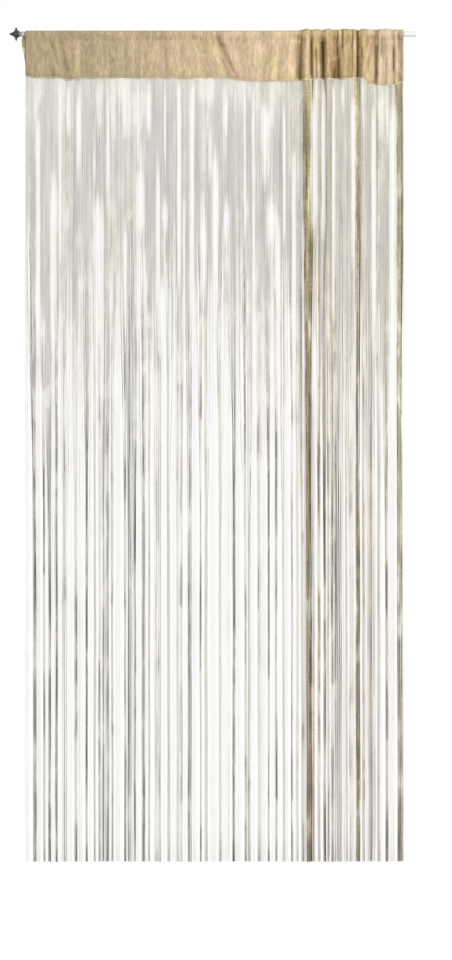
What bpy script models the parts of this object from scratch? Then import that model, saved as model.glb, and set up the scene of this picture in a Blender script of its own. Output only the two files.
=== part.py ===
"""A string curtain hanging on a slim round rod.

The heading is one band of cloth, folded over the rod and stitched under it, nearly
flat on the left and pushed into gathers on the right. A narrow root tape below its
lower edge carries the strings, which hang evenly at the top and draw together into
bundles lower down. A small turned finial closes the rod's left end, and its right
end is cut square.

Frame: metres, +Z up, the front faces -Y. The origin is on the rod's axis, midway
between the heading's two ends.
"""

import math
from collections import namedtuple

import bmesh
import bpy

MM = 0.001

# Driving sizes
HUNG_WIDTH = 909 * MM
FOOT = -1990 * MM  # where every string is cut, below the rod's axis
CLOTH = 1.3 * MM
CLEARANCE = 0.3 * MM  # left between neighbouring pieces

ROD_RADIUS = 6 * MM
ROD_LEFT = -477 * MM
ROD_RIGHT = 484.4 * MM
ROUND_SIDES = 24
FINIAL_MOUTH = -469 * MM

CHANNEL_RADIUS = 7.6 * MM  # from the rod's axis to the middle of the cloth round it
STITCH_DROP = 10.5 * MM  # the channel's stitch line, below the rod's axis
SEAM_HEIGHT = 5 * MM  # the lower seam, above the heading's lower edge
LAYER_GAP = 0.5 * MM  # between the two layers where they are stitched
SLACK = 1.0 * MM  # further apart than that between the two rows of stitches
GATHER_START = 188 * MM
GATHER_FADE = 24 * MM
GATHER_STAND = 6 * MM  # how far a gathered crest stands up above the flat heading
FLAT_REACH = 2.7 * MM  # the deepest fold of the flat side
DEEP_REACH = 8 * MM  # the deepest fold of the gathered side
CHANNEL_EASE = 0.6  # the share of a fold's depth that the channel takes up
BACK_SHOWS = 9 * MM  # how far the back layer's left edge stands out past the front's

STRINGS = 280
STRING_WIDTH = 0.9 * MM
TAPE_HEIGHT = 3 * MM
TAPE_DEPTH = 1.4 * MM
LEVELS = (0.28, 0.60, 1.0)  # where a string bends, as shares of its length
SWAY_DEPTH = 3 * MM
SWAY_LENGTH = 310 * MM

# The heading's folds from left to right, in millimetres: a valley and the crest after
# it, with how far the fold's top stands to the right of its foot.
Fold = namedtuple("Fold", "valley depth crest height lean")
FOLDS = (
    Fold(-443, 0.8, -427, 0.8, 0),
    Fold(-398, 1.0, -379, 0.9, -6),
    Fold(-362, 2.2, -333, 1.4, -16),
    Fold(-318, 1.6, -283, 0.6, -4),
    Fold(-258, 0.8, -234, 1.2, 0),
    Fold(-220, 0.9, -205, 0.8, 2),
    Fold(-191, 1.5, -174, 1.6, 3),
    Fold(-131, 1.6, -107, 1.4, -2),
    Fold(-85, 0.9, -64, 1.2, -6),
    Fold(-20, 1.6, 6, 1.6, -18),
    Fold(28, 2.6, 52, 1.2, -26),
    Fold(68, 0.8, 95, 1.8, -12),
    Fold(119, 1.8, 136, 1.8, 4),
    Fold(150, 1.0, 168, 2.4, 6),
    Fold(201, 7.4, 220, 7.6, 4),
    Fold(232, 5.6, 246, 3.4, -2),
    Fold(259, 7.2, 272, 6.8, 0),
    Fold(292, 6.6, 314, 4.4, -3),
    Fold(326, 0.5, 334, 2.8, 1),
    Fold(344, 6.4, 358, 6.4, -1),
    Fold(386, 4.4, 395, 3.2, 3),
    Fold(403, 0.2, 416, 4.8, 0),
    Fold(430, 4.4, 438, 0.4, -2),
    Fold(446, 3.6, 454.5, 1.0, 0),
)

# The heading's lower edge, in millimetres below the rod's axis
Hem = namedtuple("Hem", "across drop")
HEMS = (
    Hem(-454.5, 99),
    Hem(-434, 104),
    Hem(-376, 104),
    Hem(-356, 108.5),
    Hem(-335, 108.5),
    Hem(-315, 105),
    Hem(38, 105),
    Hem(62, 112),
    Hem(186, 112.5),
    Hem(232, 106.5),
    Hem(316, 106),
    Hem(344, 103),
    Hem(376, 120),
    Hem(431, 121),
    Hem(454.5, 112),
)

# The bundles, in millimetres: the strings rooted right of start, up to the next row's
# start, draw together round end, to squeeze times their width at the tape.
Bundle = namedtuple("Bundle", "start end squeeze")
BUNDLES = (
    Bundle(-454.5, -432, 0.40),
    Bundle(-423, -415, 0.50),
    Bundle(-407, -400, 0.50),
    Bundle(-392, -384, 0.45),
    Bundle(-375, -368, 0.50),
    Bundle(-358, -350, 0.70),
    Bundle(-341, -333, 0.45),
    Bundle(-322, -311, 0.50),
    Bundle(-300, -290, 0.50),
    Bundle(-281, -273, 0.45),
    Bundle(-263, -254, 0.55),
    Bundle(-240, -218, 0.42),
    Bundle(-209, -200, 0.50),
    Bundle(-190, -174, 0.50),
    Bundle(-160, -139, 0.45),
    Bundle(-125, -112, 0.70),
    Bundle(-98, -85, 0.40),
    Bundle(-73, -61, 0.50),
    Bundle(-48, -28, 0.45),
    Bundle(-12, 6, 0.70),
    Bundle(25, 44, 0.40),
    Bundle(58, 71, 0.50),
    Bundle(85, 100, 0.50),
    Bundle(117, 135, 0.45),
    Bundle(149, 160, 0.50),
    Bundle(173, 185, 0.50),
    Bundle(198, 226, 0.36),
    Bundle(237, 250, 0.45),
    Bundle(256, 270, 0.50),
    Bundle(282, 296, 0.45),
    Bundle(311, 323, 0.60),
    Bundle(333, 344, 0.36),
    Bundle(355, 374, 0.40),
    Bundle(388, 393, 0.55),
    Bundle(403, 413, 0.50),
    Bundle(427, 447, 0.36),
)

# The finial's outer side, in millimetres: distance out from its mouth, and radius
Turning = namedtuple("Turning", "out radius")
FINIAL = (
    Turning(24.0, 0.0),
    Turning(23.6, 1.2),
    Turning(22.0, 2.2),
    Turning(19.0, 3.4),
    Turning(15.5, 5.2),
    Turning(12.5, 8.0),
    Turning(10.2, 12.2),
    Turning(9.0, 15.6),
    Turning(8.0, 16.6),
    Turning(6.8, 16.0),
    Turning(5.4, 12.4),
    Turning(4.0, 9.2),
    Turning(2.6, 8.0),
    Turning(0.0, 7.6),
)

# Colour, roughness and metallic value of each piece
Look = namedtuple("Look", "colour roughness metallic")
LOOKS = {
    "heading": Look((0.58, 0.46, 0.29, 1.0), 0.75, 0.0),
    "string_fringe": Look((0.66, 0.62, 0.53, 1.0), 0.60, 0.0),
    "rod": Look((0.72, 0.72, 0.72, 1.0), 0.35, 1.0),
    "end_knob": Look((0.12, 0.12, 0.12, 1.0), 0.30, 1.0),
}


def clear_scene():
    for obj in list(bpy.data.objects):
        bpy.data.objects.remove(obj)


def new_collection(name):
    collection = bpy.data.collections.new(name)
    bpy.context.scene.collection.children.link(collection)
    return collection


def add_object(name, bm, collection):
    """The finished mesh as an object of its own, with its own material."""
    mesh = bpy.data.meshes.new(name)
    bm.to_mesh(mesh)
    bm.free()
    look = LOOKS[name]
    made = bpy.data.materials.new(name)
    made.use_nodes = True
    shader = made.node_tree.nodes["Principled BSDF"]
    shader.inputs["Base Color"].default_value = look.colour
    shader.inputs["Roughness"].default_value = look.roughness
    shader.inputs["Metallic"].default_value = look.metallic
    mesh.materials.append(made)
    obj = bpy.data.objects.new(name, mesh)
    collection.objects.link(obj)
    return obj


def smooth(value):
    """0 below 0 and 1 above 1, with a smooth step between."""
    value = min(1.0, max(0.0, value))
    return value * value * (3 - 2 * value)


def eased(points, at):
    """The value on a curve that rests at each of its points, which are in order."""
    if at <= points[0][0]:
        return points[0][1]
    for (x0, v0), (x1, v1) in zip(points, points[1:]):
        if at <= x1:
            share = (1 - math.cos(math.pi * (at - x0) / (x1 - x0))) / 2
            return v0 + (v1 - v0) * share
    return points[-1][1]


LEFT_END = -HUNG_WIDTH / 2
FOLD_POINTS = [(LEFT_END, 0.0)]
LEAN_POINTS = [(LEFT_END, 0.0)]
for fold in FOLDS:
    FOLD_POINTS.append((fold.valley * MM, -fold.depth * MM))
    FOLD_POINTS.append((fold.crest * MM, fold.height * MM))
    LEAN_POINTS.append(((fold.valley + fold.crest) / 2 * MM, fold.lean * MM))
HEM_POINTS = [(hem.across * MM, hem.drop * MM) for hem in HEMS]


def gathered(x):
    """0 where the heading is flat, 1 where it is gathered."""
    return smooth((x - GATHER_START) / GATHER_FADE)


def stations():
    """Where the heading's sections stand: at each fold, closer on the gathered side."""
    found = [LEFT_END]
    for (x0, _), (x1, _) in zip(FOLD_POINTS, FOLD_POINTS[1:]):
        parts = 3 if x1 > GATHER_START else 1
        found += [x0 + (x1 - x0) * part / parts for part in range(1, parts + 1)]
    return found


STATIONS = stations()
FORWARD = [eased(FOLD_POINTS, x) for x in STATIONS]
DROP = [eased(HEM_POINTS, x) for x in STATIONS]


def along_edge(values, x):
    """A value of the lower edge between two stations, where the edge is straight."""
    for index in range(len(STATIONS) - 2):
        if x <= STATIONS[index + 1]:
            break
    else:
        index = len(STATIONS) - 2
    share = (x - STATIONS[index]) / (STATIONS[index + 1] - STATIONS[index])
    return values[index] + (values[index + 1] - values[index]) * share


def steepness(index):
    """How much longer the folded cloth is than the stretch it covers, at a station."""
    left, right = max(0, index - 1), min(len(STATIONS) - 1, index + 1)
    rise = (FORWARD[right] - FORWARD[left]) / (STATIONS[right] - STATIONS[left])
    return math.sqrt(1 + rise * rise)


def channel_point(x, forward, degrees):
    """A point of the cloth round the rod: 180 degrees is the front, 0 the back."""
    across = math.cos(math.radians(degrees))
    up = math.sin(math.radians(degrees))
    fullness = gathered(x)
    reach = FLAT_REACH + (DEEP_REACH - FLAT_REACH) * fullness
    loose = CHANNEL_EASE * max(0.0, reach - forward if across > 0 else reach + forward)
    crest = fullness * (0.5 + forward / (2 * DEEP_REACH))
    y = (CHANNEL_RADIUS + loose) * across - 0.5 * max(0.0, up * forward) * fullness
    z = CHANNEL_RADIUS * up + GATHER_STAND * crest * max(0.0, up)
    return y, z


def heading_section(index):
    """The folded band's section at a station, as (y, z, share of the fold's lean)."""
    x, forward = STATIONS[index], FORWARD[index]
    stitched = (CLOTH + LAYER_GAP) * steepness(index) / 2
    slack = (CLOTH + LAYER_GAP + SLACK) * steepness(index) / 2
    foot = CLOTH / 2 - DROP[index]
    seam = foot + SEAM_HEIGHT
    middle = (seam - STITCH_DROP) / 2
    y = -forward
    upper = -0.8 * forward
    section = [
        (y + stitched, foot, 0.0),
        (y - stitched, foot, 0.0),
        (y - stitched, seam, 0.05),
        (y - slack, middle, 0.5),
        (upper - stitched, -STITCH_DROP, 1.0),
    ]
    for degrees in (225, 180, 135, 90, 45, 0, -45):
        section.append((*channel_point(x, forward, degrees), 1.0))
    section += [
        (upper + stitched, -STITCH_DROP, 1.0),
        (y + slack, middle, 0.5),
        (y + stitched, seam, 0.05),
    ]
    return section


def build_heading(collection):
    """The band of cloth: front layer, channel round the rod and back layer in one."""
    # At the left end the back layer stands out most at the stitch line
    shows = {10: 0.4, 11: 0.8, 12: 1.0, 13: 0.2}
    bm = bmesh.new()
    rings = []
    for index, x in enumerate(STATIONS):
        lean = eased(LEAN_POINTS, x)
        ring = []
        for place, (y, z, share) in enumerate(heading_section(index)):
            out = BACK_SHOWS * shows.get(place, 0.0) if index == 0 else 0.0
            ring.append(bm.verts.new((x + lean * share - out, y, z)))
        rings.append(ring)
    for left, right in zip(rings, rings[1:]):
        for place in range(len(left)):
            after = (place + 1) % len(left)
            bm.faces.new((left[place], left[after], right[after], right[place]))
    bmesh.ops.recalc_face_normals(bm, faces=bm.faces)
    heading = add_object("heading", bm, collection)
    shell = heading.modifiers.new("cloth", "SOLIDIFY")
    shell.thickness = CLOTH
    shell.offset = 0.0
    return heading


def string_roots():
    """The strings' places across, evenly spaced along the folded lower edge."""
    lengths = [0.0]
    for index in range(len(STATIONS) - 1):
        across = STATIONS[index + 1] - STATIONS[index]
        lengths.append(lengths[-1] + math.hypot(across, FORWARD[index + 1] - FORWARD[index]))
    roots = []
    index = 0
    for string in range(STRINGS):
        wanted = lengths[-1] * (string + 0.5) / STRINGS
        while lengths[index + 1] < wanted:
            index += 1
        share = (wanted - lengths[index]) / (lengths[index + 1] - lengths[index])
        roots.append(STATIONS[index] + (STATIONS[index + 1] - STATIONS[index]) * share)
    return roots


def bundled(roots):
    """Each root with its bundle and the middle of that bundle's roots."""
    found = []
    edges = [bundle.start * MM for bundle in BUNDLES[1:]] + [HUNG_WIDTH]
    for bundle, edge in zip(BUNDLES, edges):
        own = [root for root in roots if bundle.start * MM <= root < edge]
        found += [(root, bundle, (own[0] + own[-1]) / 2) for root in own]
    return found


def string_place(root, bundle, middle, level):
    """Where a string is at a level, across and in depth: 0 is the tape, 1 the foot."""
    drawn = smooth(0.1 + 0.9 * level) ** 0.8
    across = middle + (bundle.end * MM - middle) * drawn
    across += (root - middle) * (1 - (1 - bundle.squeeze) * drawn)
    depth = -along_edge(FORWARD, root) * (1 - 0.25 * drawn)
    depth += SWAY_DEPTH * level * math.sin(2 * math.pi * root / SWAY_LENGTH)
    return across, depth


def string_section(bm, x, y, z, depth):
    """A string's three corners: two in front and one behind."""
    left = bm.verts.new((x - STRING_WIDTH / 2, y - depth / 2, z))
    right = bm.verts.new((x + STRING_WIDTH / 2, y - depth / 2, z))
    rear = bm.verts.new((x, y + depth / 2, z))
    return left, right, rear


def build_fringe(collection):
    """The root tape with its strings, which hang apart below it."""
    bm = bmesh.new()
    tops, roots = [], []
    for root, bundle, middle in bundled(string_roots()):
        y = -along_edge(FORWARD, root)
        top = -along_edge(DROP, root) - CLEARANCE
        edge = top - TAPE_HEIGHT
        front = bm.verts.new((root, y - TAPE_DEPTH / 2, top))
        back = bm.verts.new((root, y + TAPE_DEPTH / 2, top))
        above = string_section(bm, root, y, edge, TAPE_DEPTH)
        tops.append((front, back))
        roots.append(above)
        bm.faces.new((front, above[0], above[1]))
        for level in LEVELS:
            x, depth = string_place(root, bundle, middle, level)
            below = string_section(bm, x, depth, edge + (FOOT - edge) * level, STRING_WIDTH)
            for side in range(3):
                after = (side + 1) % 3
                bm.faces.new((above[side], above[after], below[after], below[side]))
            above = below
        bm.faces.new(above)
    for index in range(len(roots) - 1):
        (front, back), (next_front, next_back) = tops[index], tops[index + 1]
        (_, right, rear), (next_left, _, next_rear) = roots[index], roots[index + 1]
        bm.faces.new((front, right, next_left, next_front))
        bm.faces.new((back, next_back, next_rear, rear))
        bm.faces.new((front, next_front, next_back, back))
        bm.faces.new((right, rear, next_rear, next_left))
    bm.faces.new((*tops[0], roots[0][2], roots[0][0]))
    bm.faces.new((*tops[-1], roots[-1][2], roots[-1][1]))
    bmesh.ops.triangulate(bm, faces=bm.faces)
    bmesh.ops.recalc_face_normals(bm, faces=bm.faces)
    return add_object("string_fringe", bm, collection)


def shade_round(obj):
    obj.data.shade_smooth()
    obj.data.set_sharp_from_angle(angle=math.radians(35))


def build_rod(collection):
    bm = bmesh.new()
    bmesh.ops.create_cone(
        bm,
        cap_ends=True,
        segments=ROUND_SIDES,
        radius1=ROD_RADIUS,
        radius2=ROD_RADIUS,
        depth=ROD_RIGHT - ROD_LEFT,
    )
    rod = add_object("rod", bm, collection)
    rod.location = ((ROD_LEFT + ROD_RIGHT) / 2, 0.0, 0.0)
    rod.rotation_euler = (0.0, math.radians(90), 0.0)
    shade_round(rod)
    return rod


def build_finial(collection):
    """The turned finial, with the blind bore that it sits on the rod's end by."""
    bore = ROD_RADIUS + CLEARANCE
    floor = FINIAL_MOUTH - ROD_LEFT + CLEARANCE
    profile = [(row.radius * MM, row.out * MM) for row in FINIAL]
    profile += [(bore, 0.0), (bore, floor), (0.0, floor)]
    bm = bmesh.new()
    verts = [bm.verts.new((radius, 0.0, out)) for radius, out in profile]
    for first, second in zip(verts, verts[1:]):
        bm.edges.new((first, second))
    finial = add_object("end_knob", bm, collection)
    finial.location = (FINIAL_MOUTH, 0.0, 0.0)
    finial.rotation_euler = (0.0, math.radians(-90), 0.0)
    turned = finial.modifiers.new("turned", "SCREW")
    turned.steps = ROUND_SIDES
    turned.render_steps = ROUND_SIDES
    turned.use_merge_vertices = True
    turned.merge_threshold = 0.00001
    return finial


def main():
    clear_scene()
    curtain = new_collection("string_curtain")
    build_rod(curtain)
    build_finial(curtain)
    build_heading(curtain)
    build_fringe(curtain)


main()
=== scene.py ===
"""Looks for a string curtain on a slim rod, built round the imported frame.

The heading's cloth, its stitches, the root tape, the strings and the knob are finer
forms that replace their plain solids. The rod's solid stays and gets its finish.
Metres, +Z up, the front faces -Y, and the origin is on the rod's axis.
"""

import math
import random
from collections import namedtuple

import bpy
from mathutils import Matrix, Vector, noise


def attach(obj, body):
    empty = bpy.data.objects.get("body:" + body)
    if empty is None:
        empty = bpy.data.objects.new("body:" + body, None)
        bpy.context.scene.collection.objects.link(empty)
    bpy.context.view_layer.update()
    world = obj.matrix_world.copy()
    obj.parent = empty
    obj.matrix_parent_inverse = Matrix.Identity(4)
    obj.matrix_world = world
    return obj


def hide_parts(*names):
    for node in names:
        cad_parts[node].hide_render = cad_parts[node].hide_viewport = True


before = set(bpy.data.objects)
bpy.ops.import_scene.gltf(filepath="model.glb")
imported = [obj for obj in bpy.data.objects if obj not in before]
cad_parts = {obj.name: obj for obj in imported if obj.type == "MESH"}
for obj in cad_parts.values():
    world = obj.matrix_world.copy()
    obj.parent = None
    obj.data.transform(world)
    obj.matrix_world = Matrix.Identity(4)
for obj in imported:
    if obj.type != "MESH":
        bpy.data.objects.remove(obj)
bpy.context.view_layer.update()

MM = 0.001

# Sizes shared with the solids
HUNG_WIDTH = 909 * MM
FOOT = -1990 * MM
CLOTH = 1.3 * MM
CLEARANCE = 0.3 * MM
ROD_RADIUS = 6 * MM
ROD_LEFT = -477 * MM
FINIAL_MOUTH = -469 * MM
CHANNEL_RADIUS = 7.6 * MM
SEAM_HEIGHT = 5 * MM
LAYER_GAP = 0.5 * MM
SLACK = 1.0 * MM
GATHER_START = 188 * MM
GATHER_FADE = 24 * MM
FLAT_REACH = 2.7 * MM
DEEP_REACH = 8 * MM
BACK_SHOWS = 9 * MM
STRINGS = 280
TAPE_HEIGHT = 3 * MM
TAPE_DEPTH = 1.4 * MM
SWAY_DEPTH = 3 * MM
SWAY_LENGTH = 310 * MM

# The heading's folds in millimetres, as in the solid: a valley and the crest after it,
# with how far the fold's top stands to the right of its foot
Fold = namedtuple("Fold", "valley depth crest height lean")
FOLDS = [Fold(*row) for row in (
    (-443, 0.8, -427, 0.8, 0), (-398, 1, -379, 0.9, -6), (-362, 2.2, -333, 1.4, -16),
    (-318, 1.6, -283, 0.6, -4), (-258, 0.8, -234, 1.2, 0), (-220, 0.9, -205, 0.8, 2),
    (-191, 1.5, -174, 1.6, 3), (-131, 1.6, -107, 1.4, -2), (-85, 0.9, -64, 1.2, -6),
    (-20, 1.6, 6, 1.6, -18), (28, 2.6, 52, 1.2, -26), (68, 0.8, 95, 1.8, -12),
    (119, 1.8, 136, 1.8, 4), (150, 1, 168, 2.4, 6), (201, 7.4, 220, 7.6, 4),
    (232, 5.6, 246, 3.4, -2), (259, 7.2, 272, 6.8, 0), (292, 6.6, 314, 4.4, -3),
    (326, 0.5, 334, 2.8, 1), (344, 6.4, 358, 6.4, -1), (386, 4.4, 395, 3.2, 3),
    (403, 0.2, 416, 4.8, 0), (430, 4.4, 438, 0.4, -2), (446, 3.6, 454.5, 1, 0),
)]

# The heading's lower edge, in millimetres below the rod's axis
Hem = namedtuple("Hem", "across drop")
HEMS = [Hem(*row) for row in (
    (-454.5, 99), (-434, 104), (-376, 104), (-356, 108.5), (-335, 108.5),
    (-315, 105), (38, 105), (62, 112), (186, 112.5), (232, 106.5),
    (316, 106), (344, 103), (359, 104), (372, 119), (431, 121),
    (454.5, 112),
)]

# Softer creases laid over the folds, in millimetres: a trough, or a ridge where depth
# is below 0, from its top to its foot, fading out at both ends
Crease = namedtuple("Crease", "top high foot low depth width")
CREASES = [Crease(*row) for row in (
    (-438, -12, -440, -86, -0.8, 4), (-424, -24, -421, -58, 1.1, 4.5),
    (-408, -52, -404, -98, 0.9, 5), (-388, -20, -371, -94, 1.5, 6),
    (-346, -18, -347, -98, -1, 4), (-333, -20, -334, -60, 1.5, 3.5),
    (-306, -30, -311, -90, 0.7, 5), (-262, -18, -256, -92, -0.8, 3.5),
    (-232, -14, -230, -70, -0.8, 4), (-216, -30, -216, -70, 1, 2.5),
    (-190, -50, -182, -98, -0.6, 5), (-166, -15, -168, -96, 1.3, 7),
    (-146, -22, -150, -60, -0.7, 4), (-119, -16, -116, -96, 1.2, 6),
    (-92, -40, -88, -98, -0.6, 5), (-52, -14, -58, -72, 0.8, 5),
    (-28, -55, -22, -100, 0.8, 4), (2, -14, 14, -60, -0.8, 5),
    (31, -10, 52, -102, 2.4, 6), (44, -8, 60, -70, -0.9, 5),
    (82, -60, 86, -108, 0.8, 3), (103, -44, 102, -78, 1.8, 2.5),
    (110, -44, 110, -108, -1.3, 3), (131, -14, 129, -96, 1, 4),
    (146, -12, 142, -70, -0.9, 3.5), (176, -20, 180, -104, -0.8, 4),
    (204, -16, 207, -112, 2.6, 5), (234, -12, 234, -112, 2.8, 2),
    (240, -18, 240, -100, -1.4, 1.8), (244, -40, 245, -112, 3, 1.6),
    (251, -34, 251, -100, -1.5, 2), (261, -22, 263, -112, 2.4, 4),
    (276, -16, 283, -100, 1.6, 5), (282, -26, 281, -28, -1.8, 2.2),
    (289, -56, 284, -78, -2.4, 2.2), (289, -84, 287, -104, 2, 3.6),
    (298, -16, 296, -50, 2.6, 2.2), (299, -60, 298, -112, 2.2, 3.4),
    (306, 0, 299, -26, -1.8, 2.2), (309, 0, 308, -34, 2.6, 2.2),
    (313, -38, 314, -46, -1.6, 2.2), (320, -8, 317, -22, 1.4, 2.6),
    (322, -60, 320, -104, 1.2, 3), (330, -4, 331, -90, 1.9, 1.7),
    (337, 0, 338, -52, -1.2, 2), (343, -10, 343, -118, 4.6, 1.9),
    (354, -38, 354, -54, 2.4, 1.6), (364, -52, 358, -72, -2.2, 2.4),
    (366, -6, 364, -30, 1.4, 2.6), (370, -56, 368, -90, 1.8, 2.4),
    (383, -16, 385, -122, 2.4, 2), (390, -30, 390, -112, 2, 2),
    (399, -10, 400, -50, 2.8, 2.2), (412, -70, 410, -122, 1.2, 2.6),
    (431, -36, 431, -84, 3.2, 1.8), (442, -8, 442, -116, 1.6, 3),
)]
CREASE_FADE = 10 * MM

# Painted shade where the cloth is in its own shade, and painted light where depth is below 0: the
# same rows, but their depth is a share of the cloth's brightness
SHADES = [Crease(*row) for row in (
    (-449, 0, -449, -88, 0.08, 6), (-449, -95, -448, -101, 0.2, 9),
    (-431, -85, -431, -90, 0.13, 4), (-417, -36, -417, -51, 0.14, 3.5),
    (-403, -45, -403, -50, 0.12, 5), (-388, -87, -387, -91, 0.15, 5),
    (-376, -98, -370, -101, 0.14, 20), (-371, -18, -350, -86, 0.16, 8),
    (-360, -15, -359, -24, 0.1, 6), (-325, -16, -332, -90, -0.11, 3.5),
    (-317, -24, -318, -31, 0.17, 4.5), (-318, -40, -317, -47, 0.13, 3.5),
    (-311, -30, -308, -50, 0.18, 3), (-309, -2, -309, -4, 0.16, 7),
    (-309, -14, -309, -16, 0.18, 7), (-316, -88, -316, -92, 0.13, 4),
    (-264, -3, -260, -4, 0.1, 16), (-251, -15, -248, -16, 0.1, 9),
    (-241, -18, -242, -54, -0.08, 3), (-246, -61, -245, -67, 0.12, 5),
    (-231, -30, -231, -90, -0.08, 3.5), (-190, -39, -190, -52, 0.1, 3),
    (-175, -34, -172, -74, -0.07, 12), (-162, -6, -162, -11, 0.22, 4),
    (-139, -8, -139, -11, 0.12, 4), (-129, -8, -129, -11, 0.16, 4),
    (-117, -7, -117, -11, 0.18, 2.8), (-105, -7, -105, -11, 0.17, 3),
    (-94, -7, -94, -11, 0.12, 3), (-73, -8, -73, -11, 0.1, 4),
    (-47, -6, -47, -11, 0.19, 8), (-26, -37, -26, -46, 0.12, 6),
    (-9, 1, -3, -26, 0.22, 3.5), (9, -5, 19, -26, 0.24, 7),
    (27, 2, 30, -13, -0.12, 6), (22, -26, 40, -106, 0.17, 9),
    (40, -9, 40, -19, 0.14, 4), (57, -6, 57, -20, 0.13, 3),
    (76, -13, 76, -17, 0.13, 3), (118, -13, 118, -17, 0.14, 4),
    (57, -94, 57, -106, 0.12, 3), (69, -94, 69, -106, 0.12, 3),
    (90, -48, 91, -76, 0.18, 3), (100, -50, 99, -74, -0.1, 3),
    (93, -82, 92, -106, -0.09, 3), (122, -16, 122, -106, 0.09, 8),
    (134, -18, 133, -90, -0.06, 5), (174, -36, 178, -104, 0.1, 3),
    (185, -72, 186, -106, -0.07, 5), (202, -2, 200, -18, 0.3, 3),
    (200, -24, 202, -104, 0.4, 8), (214, -22, 220, -96, -0.1, 5),
    (232, -18, 230, -66, 0.36, 3.4), (231, -70, 231, -96, 0.36, 6),
    (245, -40, 245, -100, 0.26, 3), (254, -10, 256, -20, 0.2, 7),
    (259, -20, 259, -104, 0.46, 8.5), (287, 4, 284, -56, 0.15, 9),
    (284, -66, 286, -106, 0.36, 8), (297, -36, 299, -50, 0.24, 4),
    (299, -60, 298, -104, 0.38, 6), (309, 6, 309, -34, 0.34, 3),
    (321, -6, 319, -20, 0.2, 5), (322, -40, 322, -106, 0.18, 10),
    (331, -6, 330, -34, 0.24, 3), (344, 4, 344, -52, 0.34, 4),
    (344, -56, 344, -116, 0.6, 4), (355, -36, 355, -54, 0.3, 3),
    (364, -8, 365, -30, 0.12, 5), (376, -6, 380, -50, 0.14, 7),
    (369, -58, 369, -84, 0.2, 4), (391, 6, 391, -6, 0.32, 4),
    (390, -30, 390, -106, 0.3, 4), (400, -12, 400, -50, 0.26, 4),
    (431, -36, 431, -84, 0.34, 4), (443, 0, 444, -32, 0.2, 5),
    (444, -98, 444, -110, 0.22, 5), (452, 4, 452, -116, 0.14, 4),
)]
SHADE_FADE = 5 * MM

# How the threads gather, in millimetres. Those rooted right of start hang straight at
# first, and lower down they join one line that goes from across to foot. Width is the
# line's, a lower tone darkens it and a higher warm browns it. The middle threads of an
# early line have its colour from the hem down.
Lock = namedtuple("Lock", "start across foot width tone warm early")
LOCKS = [Lock(*row) for row in (
    (-454.5, -436, -432, 7, 0.9, 0.1, 0), (-423, -412, -410, 5, 1.12, 0.05, 0),
    (-408, -398, -396, 6, 0.84, 0.05, 0), (-391, -381, -380, 5, 0.9, 0, 0),
    (-373, -362, -360, 10, 1.35, 0.2, 0), (-347, -334, -333, 10, 1.15, 0.1, 0),
    (-323, -309, -307, 5, 1.00, 0.25, 0), (-296, -288, -288, 4, 1.6, 0.2, 0),
    (-282, -277, -277, 5, 1.15, 0.1, 0), (-272, -267, -267, 6, 0.8, 0.3, 0),
    (-262, -257, -257, 6, 0.92, 0.2, 0), (-251, -246, -244, 6, 1.25, 0, 0),
    (-234, -217, -216, 5, 1.05, 0, 0), (-214, -204, -204, 9, 0.74, 0.1, 0),
    (-198, -192, -191, 5, 1.15, 0, 0), (-183, -172, -171, 6, 0.8, 0.1, 0),
    (-163, -156, -157, 4, 1.5, 0.2, 0), (-148, -140, -138, 9, 1.05, 0.1, 0),
    (-135, -130, -130, 4, 1.7, 0, 0), (-122, -111, -110, 5, 1.9, 0, 0),
    (-101, -90, -90, 5, 1.35, 0.1, 0), (-84, -78, -80, 5, 1.08, 0, 0),
    (-71, -62, -60, 8, 0.8, 0.1, 0), (-51, -34, -34, 5, 1.08, 0, 0),
    (-27, -20, -19, 7, 1.55, 0.1, 0), (-7, 13, 14, 6, 1.8, 0.1, 0),
    (31, 46, 46, 5, 0.84, 0, 0), (52, 71, 74, 5, 1.22, 0, 0),
    (77, 84, 84, 5, 1.45, 0.1, 0), (93, 105, 107, 9, 1.3, 0.1, 0),
    (115, 130, 130, 4, 1.05, 0, 0), (137, 147, 148, 5, 0.98, 0, 0),
    (155, 164, 166, 5, 1.7, 0.1, 0), (169, 185, 186, 5, 1.2, 0.1, 0),
    (191, 199, 199, 5, 1.4, 0.1, 0), (204, 209, 213, 7, 1.2, 0.8, 0),
    (213, 224, 229, 18, 0.82, 0.65, 1), (240, 250, 251, 5, 1.15, 0.4, 0),
    (256, 264, 266, 5, 0.86, 0.5, 0), (267, 273, 274, 4, 1.25, 0.3, 0),
    (276, 281, 284, 6, 0.96, 0.4, 0), (285, 289, 291, 4, 1.25, 0.4, 0),
    (291, 295, 303, 14, 0.77, 0.8, 0), (307, 316, 318, 5, 1.6, 0.3, 0),
    (320, 326, 327, 5, 1.15, 0.2, 0), (331, 345, 346, 11, 1.04, 0.5, 1),
    (352, 358, 359, 5, 1.3, 0.7, 0), (364, 374, 377, 16, 0.86, 0.8, 0),
    (386, 395, 395, 5, 1.5, 0.2, 0), (400, 412, 415, 5, 1.05, 0.2, 0),
    (428, 443, 447, 12, 1.12, 0.44, 1),
)]

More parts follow.
